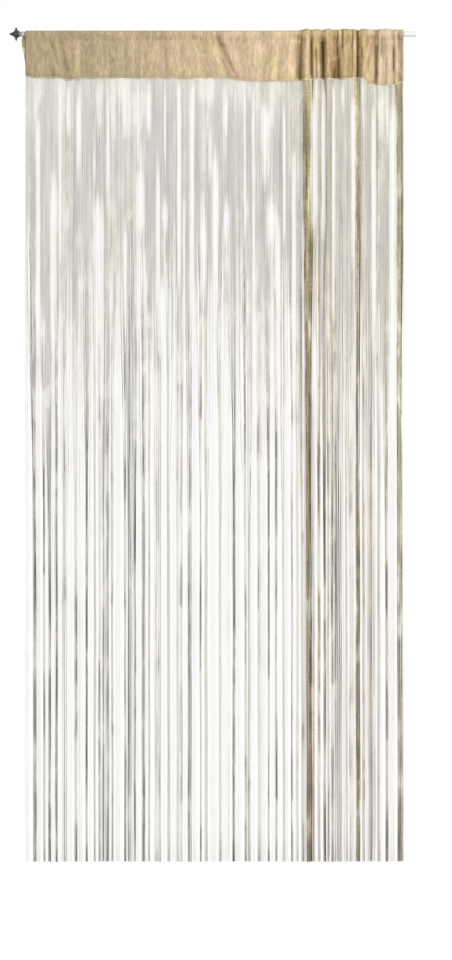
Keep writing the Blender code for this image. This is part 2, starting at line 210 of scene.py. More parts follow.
# Where the threads stand apart and show white, in millimetres
Parting = namedtuple("Parting", "across high low width")
PARTINGS = [Parting(*row) for row in (
    (-424, -195, -748, 8), (-387, -339, -760, 12), (-372, -110, -567, 5),
    (-351, -125, -243, 6), (-352, -724, -880, 9), (-326, -123, -339, 10),
    (-288, -226, -375, 5), (-278, -111, -221, 12), (-279, -375, -928, 20),
    (-257, -123, -399, 5), (-244, -120, -231, 9), (-249, -567, -688, 8),
    (-237, -760, -904, 12), (-215, -111, -231, 9), (-215, -447, -748, 6),
    (-184, -111, -291, 5), (-178, -298, -519, 15), (-177, -534, -724, 21),
    (-158, -111, -240, 9), (-136, -291, -748, 7), (-119, -111, -327, 4),
    (-120, -380, -500, 12), (-126, -562, -760, 20), (-105, -796, -928, 12),
    (-85, -111, -600, 8), (-73, -399, -712, 4), (-54, -111, -748, 9),
    (-26, -411, -640, 12), (-10, -219, -351, 6), (2, -279, -640, 11),
    (26, -120, -255, 9), (29, -389, -519, 12), (16, -640, -808, 12),
    (50, -120, -197, 4), (73, -120, -519, 4), (94, -120, -880, 5),
    (122, -147, -346, 18), (138, -370, -519, 21), (152, -435, -880, 9),
    (168, -147, -495, 5), (191, -291, -880, 8), (239, -130, -495, 11),
    (242, -712, -880, 9), (262, -100, -480, 8), (286, -123, -712, 6),
    (308, -115, -188, 7), (308, -332, -380, 7), (333, -130, -543, 8),
    (357, -125, -212, 9), (359, -724, -844, 10), (383, -171, -748, 8),
    (416, -139, -279, 4), (429, -147, -976, 14),
)]
PARTING_FADE = 40 * MM

# Broad soft places where the strings look darker, or lighter where depth is below 0. The narrow
# lighter rows just below the gathers are painted light on threads that lie in the shadow of the
# fold crests.
HAZES = [Crease(*row) for row in (
    (-439, -1130, -439, -1290, -0.2, 16), (-376, -700, -382, -1360, 0.3, 22),
    (-314, -560, -314, -940, 0.2, 18), (-314, -1480, -314, -1900, -0.25, 16),
    (-251, -700, -251, -1000, -0.25, 18), (-189, -940, -189, -1280, 0.28, 18),
    (-126, -1200, -130, -1500, -0.22, 20), (-95, -700, -90, -860, 0.2, 16),
    (-64, -740, -62, -1000, -0.2, 18), (-24, -1560, -20, -1900, -0.3, 34),
    (93, -200, 90, -980, 0.22, 18), (155, -1080, 152, -1280, 0.3, 18),
    (186, -1100, 186, -1580, -0.3, 14), (209, -100, 209, -560, -1.1, 6),
    (231, -100, 231, -420, -0.6, 4), (278, -960, 278, -1300, 0.38, 28),
    (303, -340, 304, -1620, 0.25, 13), (338, -100, 338, -400, -0.4, 3),
    (351, -100, 351, -420, -0.8, 4), (376, -1240, 377, -1960, 0.3, 15),
    (432, -110, 432, -420, -0.6, 5),
)]
HAZE_FADE = 90 * MM

# The finial's outer side in millimetres, as in the solid: how far out from its mouth
Turning = namedtuple("Turning", "out radius")
FINIAL = [Turning(*row) for row in (
    (24, 0), (23.6, 1.2), (22, 2.2), (19, 3.4), (15.5, 5.2),
    (12.5, 8), (10.2, 12.2), (9, 15.6), (8, 16.6), (6.8, 16),
    (5.4, 12.4), (4, 9.2), (2.6, 8), (0, 7.6),
)]

# The finer forms
FLAT_STEP = 2.3 * MM
DEEP_STEP = 0.95 * MM
SHARPEN = 0.05  # how much narrower a gathered valley is than its crest
STITCH_DROP = 13.5 * MM
HANG = 2.4 * MM  # how far forward the cloth still stands below the channel
HANG_FOOT = 48 * MM
CHANNEL_EASE = 0.25
GATHER_STAND = 4.6 * MM
PUCKER_PITCH = 8.5 * MM
PUCKER_REACH = 7 * MM
PUCKER_STAND = 0.8 * MM
PINCH_REACH = 2 * MM  # how far a stitch row's dark line reaches
STEEPEST = 1.6  # the cloth's slope along x is never taken as more than this
STITCH_LENGTH = 2.9 * MM
STITCH_PITCH = 4.4 * MM
STITCH_THICK = 0.4 * MM
PLY = 4  # fine threads to each string of the solid
THREAD_WIDTH = 0.5 * MM
THREAD_LEVELS = 27
CROWDED = (0.192, 0.388)  # the stretch where the gathers crowd the strings
EARLY_THICK = 2.0  # how much thicker an early line's threads are
EARLY_CORE = 0.34  # the share of an early line that is coloured from the hem down
LINE_WIDEN = 1.9  # how far a line's thin edges reach past its own width
PARTING_PUSH = 0.12  # how far a parting pushes the threads aside, as a share of its width
PARTING_PALE = 0.85
PARTING_RAGGED = 60 * MM  # how unevenly a parting's threads begin and end
KNOB_SIDES = 64
SEED = 7

# Tones: 1 is a material's own, and the dark ones are painted shade taken off the cloth's colour in
# its valleys and where the stitch rows pinch it
LINE_TONE = 0.66
EDGE_TONE = 0.5  # how much lighter a line's edges are than its middle
STRAY_TONE = 2.1
VALLEY_DARK = 0.2
CHANNEL_PINCH = 0.06
SEAM_PINCH = 0.14
DARKEST = 0.8  # the most that all of them take off together

# The view, the lights and the floor
VIEW_TALL = 2.308
VIEW_AWAY = 9.0
VIEW_MIDDLE = (0.0276, -1.072)  # x and z
ROOM_FILL = 0.42
KEY_SIZE = 1.8
KEY_ENERGY = 200.0
KEY_PLACE = (2.6, -3.9, 0.9)
KEY_AIM = (0.0, 0.0, -0.7)
FLOOR_REACH = 2.9
FLOOR_LOW = -2.62
FLOOR_SIDES = 96

LEFT_END = -HUNG_WIDTH / 2
RIGHT_END = HUNG_WIDTH / 2


def smooth(value):
    """0 below 0 and 1 above 1, with a smooth step between."""
    value = min(1.0, max(0.0, value))
    return value * value * (3 - 2 * value)


def mix(first, second, share):
    return first + (second - first) * share


def drift(a, b, c):
    """Smooth noise round 0 at a place."""
    return noise.noise(Vector((a, b, c)))


def circle(sides):
    """The directions of the corners of a regular shape."""
    turns = [2 * math.pi * side / sides for side in range(sides)]
    return [(math.cos(turn), math.sin(turn)) for turn in turns]


def faces_between(rings, sides, base=0):
    """Four-cornered faces that join closed rings of points, each to the next."""
    faces = []
    for ring in range(rings - 1):
        for side in range(sides):
            a = base + ring * sides + side
            b = base + ring * sides + (side + 1) % sides
            faces.append((a, b, b + sides, a + sides))
    return faces


def eased(points, at, sharpen=0.0):
    """The value on a curve that rests at each of its points, its low ones narrower."""
    if at <= points[0][0]:
        return points[0][1]
    for (x0, v0), (x1, v1) in zip(points, points[1:]):
        if at <= x1:
            share = (1 - math.cos(math.pi * (at - x0) / (x1 - x0))) / 2
            if v1 > v0:
                share = share ** (1 - sharpen)
            else:
                share = 1 - (1 - share) ** (1 - sharpen)
            return mix(v0, v1, share)
    return points[-1][1]


FOLD_POINTS = [(LEFT_END, 0.0)]
LEAN_POINTS = [(LEFT_END, 0.0)]
for fold in FOLDS:
    FOLD_POINTS.append((fold.valley * MM, -fold.depth * MM))
    FOLD_POINTS.append((fold.crest * MM, fold.height * MM))
    LEAN_POINTS.append(((fold.valley + fold.crest) / 2 * MM, fold.lean * MM))
HEM_POINTS = [(hem.across * MM, hem.drop * MM) for hem in HEMS]


def gathered(x):
    """0 where the heading is flat, 1 where it is gathered."""
    return smooth((x - GATHER_START) / GATHER_FADE)


def fold_at(x):
    """How far a fold stands forward at x."""
    return eased(FOLD_POINTS, x, SHARPEN * gathered(x))


def drop_at(x):
    return eased(HEM_POINTS, x)


def depth_at(rows, fade, x, z):
    """The depths of the creases that cross a place, each fading out past its ends."""
    total = 0.0
    for row in rows:
        high, low = row.high * MM, row.low * MM
        if not low - fade < z < high + fade:
            continue
        share = min(1.0, max(0.0, (z - high) / (low - high)))
        off = (x - mix(row.top, row.foot, share) * MM) / (row.width * MM)
        if abs(off) < 3:
            ends = smooth((z - low) / fade + 1) * smooth((high - z) / fade + 1)
            total += row.depth * math.exp(-off * off) * ends
    return total


def creased(x, z):
    """How far the creases bring the cloth forward: below 0 in a trough."""
    return -depth_at(CREASES, CREASE_FADE, x, z) * MM


def wrinkle(x, z):
    """The creases and the cloth's own unevenness, forward of the main folds."""
    fullness = gathered(x)
    broad = drift(x / 0.021, z / 0.060, 3.1)
    fine = drift(x / 0.0075, z / 0.030, 8.7)
    uneven = (0.55 + 0.5 * fullness) * broad + (0.28 + 0.3 * fullness) * fine
    return creased(x, z) + uneven * MM


def pucker(x, away):
    """How far the cloth puffs between the pinched stitches, by distance from them."""
    phase = x / PUCKER_PITCH + 0.55 * drift(x / 0.023, 1.7, 0.0)
    between = (0.5 - 0.5 * math.cos(2 * math.pi * phase)) ** 0.7
    strength = 0.55 + 0.45 * drift(x / 0.05, 9.2, 0.0)
    fade = math.exp(-((away / PUCKER_REACH) ** 2))
    return PUCKER_STAND * between * max(0.15, strength) * fade


class Column:
    """One upright line of the cloth: its fold, its edge and its surface at a height."""

    def __init__(self, x):
        self.x = x
        self.forward = fold_at(x)
        self.lean = eased(LEAN_POINTS, x)
        self.foot = CLOTH / 2 - drop_at(x)
        self.seam = self.foot + SEAM_HEIGHT
        self.shows = max(0.0, 1 - (x - LEFT_END) / (FOLDS[0].valley * MM - LEFT_END))

    def stand(self, z):
        """How far forward the cloth's middle stands at a height below the stitches."""
        return self.forward + HANG * smooth((z + HANG_FOOT) / (HANG_FOOT - STITCH_DROP))

    def shift(self, z):
        """How far the fold's lean moves the cloth across at a height."""
        if z <= self.seam:
            return 0.0
        return self.lean * min(1.0, (z - self.seam) / (-STITCH_DROP - self.seam))


def gather_slope(column, z):
    """How fast the cloth comes forward along x, at a height."""
    step = 0.4 * MM
    rise = fold_at(column.x + step) - fold_at(column.x - step)
    rise += wrinkle(column.x + step, z) - wrinkle(column.x - step, z)
    return max(-STEEPEST, min(STEEPEST, rise / (2 * step)))


def layer_point(column, z, side):
    """A point of the front layer, or of the back one where side is -1."""
    middle = (column.seam - STITCH_DROP) / 2
    half_height = max(1e-6, (-STITCH_DROP - column.seam) / 2)
    belly = smooth(1 - abs(z - middle) / half_height) if z > column.seam else 0.0
    slope = gather_slope(column, z)
    stretch = math.sqrt(1 + slope * slope)
    half = (CLOTH + LAYER_GAP + SLACK * belly) / 2
    half += pucker(column.x, z + STITCH_DROP)
    half += 0.6 * pucker(column.x + 4 * MM, z - column.seam - 3 * MM)
    stand = column.stand(z) + wrinkle(column.x, z)
    x = column.x + column.shift(z) - side * half * slope / stretch
    return x, -stand - side * half / stretch, z


def channel_point(column, degrees):
    """A point of the cloth round the rod: 180 degrees is the front, 0 the back."""
    across = math.cos(math.radians(degrees))
    up = math.sin(math.radians(degrees))
    fullness = gathered(column.x)
    forward = column.forward
    reach = mix(FLAT_REACH, DEEP_REACH, fullness)
    loose = CHANNEL_EASE * max(0.0, reach - forward if across > 0 else reach + forward)
    crest = fullness * (0.6 + forward / (3 * DEEP_REACH))
    uneven = 0.6 + drift(column.x / 0.008, across * 1.3, up * 1.3)
    girth = CHANNEL_RADIUS + (0.25 + 0.35 * fullness) * MM * uneven
    girth += 0.7 * pucker(column.x, 6 * MM * (1 + up))
    y = (girth + loose) * across - 0.5 * max(0.0, up * forward) * fullness
    if across < 0:
        y += max(-1.5 * MM, wrinkle(column.x, -STITCH_DROP)) * across
    rough = 0.25 * drift(column.x / 0.0055, 4.4, 0.0)
    z = girth * up + GATHER_STAND * (crest + fullness * rough) * max(0.0, up)
    return column.x + column.lean, y, z


def column_places():
    """Where the cloth's columns stand, closer together where it is gathered."""
    found, x = [], LEFT_END
    while x < RIGHT_END - DEEP_STEP / 2:
        found.append(x)
        x += mix(FLAT_STEP, DEEP_STEP, smooth((x - GATHER_START + 0.02) / 0.02))
    return [*found, RIGHT_END]


BELOW_STITCH = (0.0, 1.2, 2.6, 4.4, 6.6, 9.2, 12.4, 16.2, 20.8, 26.0)  # mm
ABOVE_FOOT = (0.0, 1.0, 2.2, 3.6, 5.0, 6.2, 8.0, 10.4, 13.6, 17.8)  # mm
MIDDLE_ROWS = 8
CHANNEL_DEGREES = (200, 187, 173, 158, 142, 125, 108, 91, 74, 57, 40, 23, 6, -11, -28, -45)


def layer_heights(column):
    """The rows' heights on one layer, from the foot up to the stitches."""
    low = [column.foot + up * MM for up in ABOVE_FOOT]
    high = [-STITCH_DROP - down * MM for down in reversed(BELOW_STITCH)]
    gap = (high[0] - low[-1]) / (MIDDLE_ROWS + 1)
    return low + [low[-1] + gap * (row + 1) for row in range(MIDDLE_ROWS)] + high


def back_shows(column, z):
    """At the left end the back layer stands out past the front one, most at the top."""
    if z > -STITCH_DROP:
        share = mix(1.0, 0.4, smooth((z + STITCH_DROP) / (STITCH_DROP + 5 * MM)))
    else:
        share = smooth((z - column.seam) / (-STITCH_DROP - column.seam)) ** 1.5
    return BACK_SHOWS * column.shows * share


def cloth_ring(column):
    """One closed section of the doubled cloth, front layer first."""
    heights = layer_heights(column)
    ring = [layer_point(column, z, 1) for z in heights]
    start, end = ring[-1], channel_point(column, CHANNEL_DEGREES[0])
    for share in (0.14, 0.3, 0.5, 0.75):
        ring.append(tuple(mix(a, b, share) for a, b in zip(start, end)))
    for degrees in CHANNEL_DEGREES:
        x, y, z = channel_point(column, degrees)
        out = back_shows(column, z) * smooth(-degrees / 90 + 0.5)
        ring.append((x - out, y, z))
    back = []
    for z in reversed(heights):
        x, y, _ = layer_point(column, z, -1)
        back.append((x - back_shows(column, z), y, z))
    start, end = ring[-1], back[0]
    ring += [tuple(mix(a, b, share) for a, b in zip(start, end)) for share in (0.35, 0.7)]
    ring += back
    # The foot's fold is round, so its two rows stand a little above its lowest line
    first, last = ring[0], ring[-1]
    ring[0] = (first[0], first[1], first[2] + 0.45 * MM)
    ring[-1] = (last[0], last[1], last[2] + 0.45 * MM)
    ring.append(tuple((a + b) / 2 for a, b in zip(first, last)))
    return ring


def add_piece(name, verts, faces, material, slot, *nodes):
    """A mesh piece that rides on the frame, with its finish and the nodes it replaces."""
    mesh = bpy.data.meshes.new(name)
    mesh.from_pydata(verts, [], faces)
    mesh.update()
    mesh.shade_smooth()
    mesh.materials.append(material)
    piece = bpy.data.objects.new(name, mesh)
    bpy.context.scene.collection.objects.link(piece)
    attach(piece, "root")
    if nodes:
        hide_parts(*nodes)
    return piece


def add_values(mesh, name, values):
    """A number for each point, for the materials to read."""
    layer = mesh.attributes.new(name, "FLOAT", "POINT")
    layer.data.foreach_set("value", values)


class Nodes:
    """A short way to write a material's node tree."""

    def __init__(self, name):
        self.material = bpy.data.materials.new(name)
        self.material.use_nodes = True
        self.tree = self.material.node_tree
        self.shader = self.tree.nodes["Principled BSDF"]

    def add(self, kind, settings=None, **inputs):
        node = self.tree.nodes.new(kind)
        for key, value in (settings or {}).items():
            setattr(node, key, value)
        for key, value in inputs.items():
            self.feed(node.inputs[key], value)
        return node

    def feed(self, socket, value):
        if isinstance(value, bpy.types.NodeSocket):
            self.tree.links.new(value, socket)
        else:
            socket.default_value = value

    def maths(self, operation, first, second):
        node = self.add("ShaderNodeMath", {"operation": operation})
        self.feed(node.inputs[0], first)
        self.feed(node.inputs[1], second)
        return node.outputs[0]

    def times(self, first, *others):
        for other in others:
            first = self.maths("MULTIPLY", first, other)
        return first

    def value(self, name):
        return self.add("ShaderNodeAttribute", {"attribute_name": name}).outputs["Fac"]

    def place(self):
        return self.add("ShaderNodeTexCoord").outputs["Object"]

    def axis(self, vector, letter):
        return self.add("ShaderNodeSeparateXYZ", Vector=vector).outputs[letter]

    def scaled(self, vector, scale):
        return self.add("ShaderNodeMapping", Vector=vector, Scale=scale).outputs["Vector"]

    def noise(self, vector, scale, detail=2.0, rough=0.5):
        """Noise between about 0.3 and 0.7."""
        stretched = self.scaled(vector, scale)
        kind = "ShaderNodeTexNoise"
        node = self.add(kind, Vector=stretched, Scale=1.0, Detail=detail, Roughness=rough)
        return node.outputs["Fac"]

    def mottle(self, vector, scale, low, high, detail=2.0, rough=0.5, span=(0.3, 0.7)):
        """Noise whose span is brought to low and high."""
        return self.range(self.noise(vector, scale, detail, rough), *span, low, high)

    def wave(self, vector, direction, scale, distortion):
        settings = {"wave_type": "BANDS", "bands_direction": direction}
        kind = "ShaderNodeTexWave"
        node = self.add(kind, settings, Vector=vector, Scale=scale, Distortion=distortion)
        return node.outputs["Fac"]

    def ramp(self, factor, *stops):
        node = self.add("ShaderNodeValToRGB", Fac=factor)
        elements = node.color_ramp.elements
        while len(elements) < len(stops):
            elements.new(0.5)
        for element, (place, colour) in zip(elements, stops):
            element.position = place
            element.color = (*colour, 1.0)
        return node.outputs["Color"]

    def blend(self, kind, factor, first, second):
        node = self.add("ShaderNodeMix", {"data_type": "RGBA", "blend_type": kind})
        self.feed(node.inputs["Factor"], factor)
        self.feed(node.inputs["A"], first)
        self.feed(node.inputs["B"], second)
        return node.outputs["Result"]

    def range(self, factor, low, high, to_low, to_high):
        node = self.add("ShaderNodeMapRange")
        for place, value in enumerate((factor, low, high, to_low, to_high)):
            self.feed(node.inputs[place], value)
        return node.outputs["Result"]

    def bump(self, height, distance, strength=1.0, normal=None):
        node = self.add("ShaderNodeBump", Height=height, Distance=distance, Strength=strength)
        if normal is not None:
            self.feed(node.inputs["Normal"], normal)
        return node.outputs["Normal"]

    def toned(self, colour, factor):
        """A colour made lighter or darker by a number round 1."""
        grey = self.add("ShaderNodeCombineColor", Red=factor, Green=factor, Blue=factor)
        return self.blend("MULTIPLY", 1.0, colour, grey.outputs["Color"])

    def finish(self, colour, normal, rough):
        """Feeds the shader, and gives the finished material."""
        self.feed(self.shader.inputs["Base Color"], colour)
        self.feed(self.shader.inputs["Normal"], normal)
        self.feed(self.shader.inputs["Roughness"], rough)
        return self.material


def cloth_material():
    """Gold-beige cloth with upright slubs, cooler on the left and warmer on the right, and painted
    darker on the left and in the gathers: painted light and shade.
    """
    nodes = Nodes("gold_beige_slub_cloth")
    uv = nodes.add("ShaderNodeUVMap", {"uv_map": "cloth"}).outputs["UV"]
    shade = nodes.value("hollow")
    patches = nodes.mottle(uv, (9.0, 14.0, 1.0), -0.10, 0.10, 1.0)
    # Along the cloth's width the hue is the cloth's own, while its darker left end and darker
    # gathers are painted light and shade
    base = nodes.ramp(
        nodes.maths("ADD", nodes.axis(uv, "X"), patches),
        (0.03, (0.480, 0.385, 0.240)),
        (0.20, (0.490, 0.395, 0.252)),
        (0.36, (0.575, 0.455, 0.290)),
        (0.50, (0.615, 0.480, 0.308)),
        (0.62, (0.655, 0.515, 0.338)),
        (0.68, (0.630, 0.495, 0.298)),
        (0.78, (0.540, 0.400, 0.213)),
        (0.86, (0.570, 0.430, 0.243)),
        (0.94, (0.650, 0.522, 0.375)),
    )
    hue = nodes.mottle(uv, (16.0, 20.0, 1.0), 0.0, 1.0, span=(0.38, 0.62))
    khaki = nodes.blend("MIX", hue, (0.975, 1.0, 0.93, 1.0), (1.03, 0.985, 1.04, 1.0))
    base = nodes.blend("MULTIPLY", 1.0, base, khaki)
    # The back layer's edge at the left end is the cloth's greyer inner face, and it is painted
    # lighter too, as painted light where the front layer shades it
    greyer_lit_back_edge = nodes.range(shade, 1.14, 1.34, 0.0, 1.0)
    base = nodes.blend("MIX", greyer_lit_back_edge, base, (0.66, 0.60, 0.54, 1.0))
    broad = nodes.mottle(uv, (95.0, 22.0, 1.0), 0.86, 1.13, span=(0.32, 0.68))
    slubs = nodes.noise(uv, (310.0, 62.0, 1.0), 3.0, 0.6)
    slub = nodes.range(slubs, 0.34, 0.70, 0.80, 1.18)
    fleck = nodes.mottle(uv, (700.0, 260.0, 1.0), 0.93, 1.07)
    # Painted light lifts the cloth where the painted value is above 1, and below 1 the ramp paints
    # shade that darkens and browns it
    factor = nodes.times(broad, slub, fleck, nodes.maths("MAXIMUM", shade, 1.0))
    hollow = nodes.ramp(
        shade,
        (0.0, (0.06, 0.04, 0.015)),
        (0.25, (0.30, 0.24, 0.13)),
        (0.5, (0.50, 0.46, 0.37)),
        (1.0, (1.0, 1.0, 1.0)),
    )
    colour = nodes.blend("MULTIPLY", 1.0, nodes.toned(base, factor), hollow)
    warp, weft = nodes.wave(uv, "X", 560.0, 0.6), nodes.wave(uv, "Y", 480.0, 0.6)
    normal = nodes.bump(nodes.maths("ADD", warp, weft), 0.06 * MM, 0.6)
    normal = nodes.bump(slubs, 0.7 * MM, 0.8, normal)
    nodes.shader.inputs["Sheen Weight"].default_value = 0.08
    nodes.shader.inputs["Sheen Roughness"].default_value = 0.5
    nodes.shader.inputs["Specular IOR Level"].default_value = 0.2
    return nodes.finish(colour, normal, nodes.range(slub, 0.80, 1.18, 0.90, 0.76))


def yarn_material(name, dark, warm, speckle):
    """Twisted yarn, its tone set for each thread, warmer where warmth is higher."""
    nodes = Nodes(name)
    place, warmth = nodes.place(), nodes.value("warmth")
    down = nodes.axis(place, "Z")
    colour = nodes.blend("MIX", warmth, (*dark, 1.0), (*warm, 1.0))
    # The warm bundles turn browner lower down
    bundled = nodes.range(warmth, 0.45, 0.8, 0.0, 1.0)
    brown = nodes.times(bundled, nodes.range(down, -0.4, -1.0, 0.0, 1.0))
    colour = nodes.blend("MULTIPLY", brown, colour, (1.05, 0.94, 0.95, 1.0))
    grain = nodes.mottle(place, (90.0, 90.0, 330.0), 1 - speckle, 1 + speckle, 2.0, 0.6)
    cloud = nodes.mottle(place, (22.0, 22.0, 4.5), 0.86, 1.14, 1.0)
    spell = nodes.mottle(place, (60.0, 60.0, 13.0), 0.74, 1.30)
    factor = nodes.times(cloud, spell, nodes.value("tone"))
    # Lighter spells along the threads, more of them lower down and none in the bundles
    light = nodes.mottle(place, (55.0, 55.0, 11.0), 0.0, 0.7, span=(0.52, 0.64))
    lower = nodes.range(down, -0.15, -0.8, 0.2, 1.0)
    plain = nodes.range(warmth, 0.7, 0.95, 1.0, 0.0)
    factor = nodes.maths("ADD", factor, nodes.times(light, lower, plain))
    bleached = nodes.range(factor, 1.15, 1.9, 0.0, 1.0)
    colour = nodes.toned(colour, nodes.times(factor, grain))
    colour = nodes.blend("MIX", bleached, colour, (0.965, 0.955, 0.865, 1.0))
    twist = nodes.bump(nodes.wave(place, "DIAGONAL", 420.0, 1.0), 0.08 * MM, 0.5)
    nodes.shader.inputs["Sheen Weight"].default_value = 0.1
    nodes.shader.inputs["Specular IOR Level"].default_value = 0.3
    return nodes.finish(colour, twist, nodes.range(grain, 0.7, 1.3, 0.62, 0.82))


def metal_material(name, colour, metallic, roughness, stretch, neck_shade=1.0):
    """Satin metal with fine marks that run along it or round it, and painted shade that darkens it
    at the left neck, beside the knob.
    """
    nodes = Nodes(name)
    place = nodes.place()
    marks = nodes.noise(place, stretch, 4.0, 0.6)
    worn = nodes.range(marks, 0.3, 0.7, 0.90, 1.08)
    # Painted shade: the metal is darker towards the left end, beside the knob
    painted_neck_shade = nodes.range(nodes.axis(place, "X"), LEFT_END - 14 * MM, LEFT_END, neck_shade, 1.0)
    shown = nodes.toned((*colour, 1.0), nodes.times(worn, painted_neck_shade))
    rough = nodes.range(marks, 0.3, 0.7, roughness - 0.08, roughness + 0.1)
    nodes.shader.inputs["Metallic"].default_value = metallic
    return nodes.finish(shown, nodes.bump(marks, 0.02 * MM, 0.4), rough)


def painted_shading_at(column, height):
    """The cloth's painted shade inside its folds, in its creases and where the stitches pinch it,
    and painted light where a shade row lightens it: 1 is plain.
    """
    fullness = gathered(column.x)
    z = min(height, -STITCH_DROP)
    dark = VALLEY_DARK * fullness * smooth((2.5 * MM - column.forward) / (8 * MM))
    dark += (50 + 40 * fullness) * max(-1.5 * MM, -creased(column.x, z))
    dark += depth_at(SHADES, SHADE_FADE, column.x + column.shift(z), height)
    pinch = 1 - pucker(column.x, 0.0) / PUCKER_STAND
    for row, strength in ((-STITCH_DROP, CHANNEL_PINCH), (column.seam, SEAM_PINCH)):
        dark += strength * pinch * math.exp(-(((height - row) / PINCH_REACH) ** 2))
    return 1 - min(dark, DARKEST)


def build_heading(material):
    """The doubled cloth with its channel, as one fine thin sheet."""
    columns = [Column(x) for x in column_places()]
    rings = [cloth_ring(column) for column in columns]
    verts = [point for ring in rings for point in ring]
    faces = faces_between(len(rings), len(rings[0]))
    piece = add_piece("heading_cloth", verts, faces, material, "heading_cloth", "heading")
    # Cloth coordinates in metres: along the folded width, and round the section
    arcs = [0.0]
    for before, after in zip(columns, columns[1:]):
        rise = after.forward - before.forward
        arcs.append(arcs[-1] + math.hypot(after.x - before.x, rise))
    girths = [0.0]
    sample = rings[len(rings) // 3]
    for a, b in zip(sample, [*sample[1:], sample[0]]):
        girths.append(girths[-1] + math.hypot(a[1] - b[1], a[2] - b[2]))
    values = []
    for left, right in zip(arcs, arcs[1:]):
        for low, high in zip(girths, girths[1:]):
            values += [left, low, left, high, right, high, right, low]
    piece.data.uv_layers.new(name="cloth").data.foreach_set("uv", values)
    # Painted shade in the cloth's folds, creases and stitch pinches, and painted light on the back
    # layer's edge at the left end, where the front layer shades it
    add_values(piece.data, "hollow", [
        painted_shading_at(column, z) + (0.35 * smooth(3 * column.shows) if y > 0 else 0.0)
        for column, ring in zip(columns, rings)
        for _, y, z in ring
    ])
    shell = piece.modifiers.new("cloth", "SOLIDIFY")
    shell.thickness = CLOTH
    shell.offset = 0.0
    return piece, columns, arcs


def stitch_bar(verts, faces, middle, along, out):
    """One stitch: a short rounded bar that dips into the cloth at both ends."""
    base = len(verts)
    up = along.cross(out).normalized()
    shape = ((-0.5, 0.25, -0.6), (-0.3, 0.9, 0.1), (0.3, 0.9, 0.1), (0.5, 0.25, -0.6))
    for share, girth, lift in shape:
        centre = middle + along * (share * STITCH_LENGTH) + out * (lift * STITCH_THICK)
        verts += [tuple(centre + way * (girth * STITCH_THICK / 2)) for way in (up, out, -up, -out)]
    faces += faces_between(4, 4, base)
    faces.append((base + 3, base + 2, base + 1, base))
    faces.append((base + 12, base + 13, base + 14, base + 15))


def build_stitches(columns, arcs, material):
    """The two rows of stitches, on the front layer and on the back one."""
    rng = random.Random(SEED)
    verts, faces = [], []
    for row in ("channel", "seam"):
        for side in (1, -1):
            wanted = 3 * MM
            for index in range(1, len(columns) - 1):
                if arcs[index] < wanted:
                    continue
                wanted += STITCH_PITCH * rng.uniform(0.92, 1.08)
                column = columns[index]
                z = -STITCH_DROP if row == "channel" else column.seam
                z += rng.uniform(-0.25, 0.25) * MM
                middle = Vector(layer_point(column, z, side))
                before = Vector(layer_point(columns[index - 1], z, side))
                after = Vector(layer_point(columns[index + 1], z, side))
                along = (after - before).normalized()
                out = Vector((along.y, -along.x, 0.0)).normalized() * side
                middle += out * (CLOTH / 2 + 0.1 * MM)
                stitch_bar(verts, faces, middle, along, out)
    piece = add_piece("heading_stitches", verts, faces, material, "heading_cloth")
    # Painted light, as on the cloth: the stitches are lighter from the left towards the middle,
    # and less so in the gathers
    tones = [1 + 0.24 * smooth((x + 0.3) / 0.4) * (1 - 0.7 * gathered(x)) for x, _, _ in verts]
    add_values(piece.data, "tone", tones)
    add_values(piece.data, "warmth", [1.0] * len(verts))
    return piece


def string_roots(columns, arcs, count):
    """Places across, evenly spaced along the folded lower edge."""
    roots, index = [], 0
    for string in range(count):
        wanted = arcs[-1] * (string + 0.5) / count
        while arcs[index + 1] < wanted:
            index += 1
        share = (wanted - arcs[index]) / (arcs[index + 1] - arcs[index])
        roots.append(mix(columns[index].x, columns[index + 1].x, share))
    return roots


def lock_line(lock, level):
    """Where a lock's line is across: level 0 is the tape, 1 the foot."""
    return mix(lock.across, lock.foot, smooth(level)) * MM


def lock_width(lock, level):
    if lock.early:
        return lock.width * MM * mix(0.85, 1.35, smooth(level / 0.7))
    return lock.width * MM * mix(3.0, LINE_WIDEN, smooth((level - 0.1) / 0.5))


def close_at(home):
    """1 where the gathers crowd the strings together, 0 elsewhere."""
    left, right = CROWDED
    return smooth((home - left) / 0.02) * smooth((right - home) / 0.02)


def partings_near(home):
    """The partings round a thread: its push aside, its paleness, the ends' heights."""
    found = []
    for parting in PARTINGS:
        off = home - parting.across * MM
        width = parting.width * MM
        push = math.copysign(PARTING_PUSH * width, off) * math.exp(-abs(off) / (width + 3 * MM))
        pale = PARTING_PALE * smooth(2.0 - abs(off) / (0.38 * width))
        if pale > 0 or abs(push) > 0.05 * MM:
            ragged = PARTING_RAGGED * drift(home / 0.0025, parting.high, 0.0)
            found.append((push, pale, parting.high * MM - abs(ragged), parting.low * MM + ragged))
    return found


def parted(near, z):
    """How far a thread is pushed aside at a height, and how pale it shows there."""
    push, pale = 0.0, 0.0
    for own_push, own_pale, high, low in near:
        open_here = smooth((high - z) / PARTING_FADE) * smooth((z - low) / PARTING_FADE)
        push += own_push * open_here
        pale = max(pale, own_pale * open_here)
    return push, pale


def thread_ring(verts, centre, width, angle):
    """A thread's three corners at one height."""
    for corner in range(3):
        turn = angle + corner * 2 * math.pi / 3
        x = centre[0] + width / 2 * math.cos(turn)
        y = centre[1] + width / 2 * math.sin(turn)
        verts.append((x, y, centre[2]))


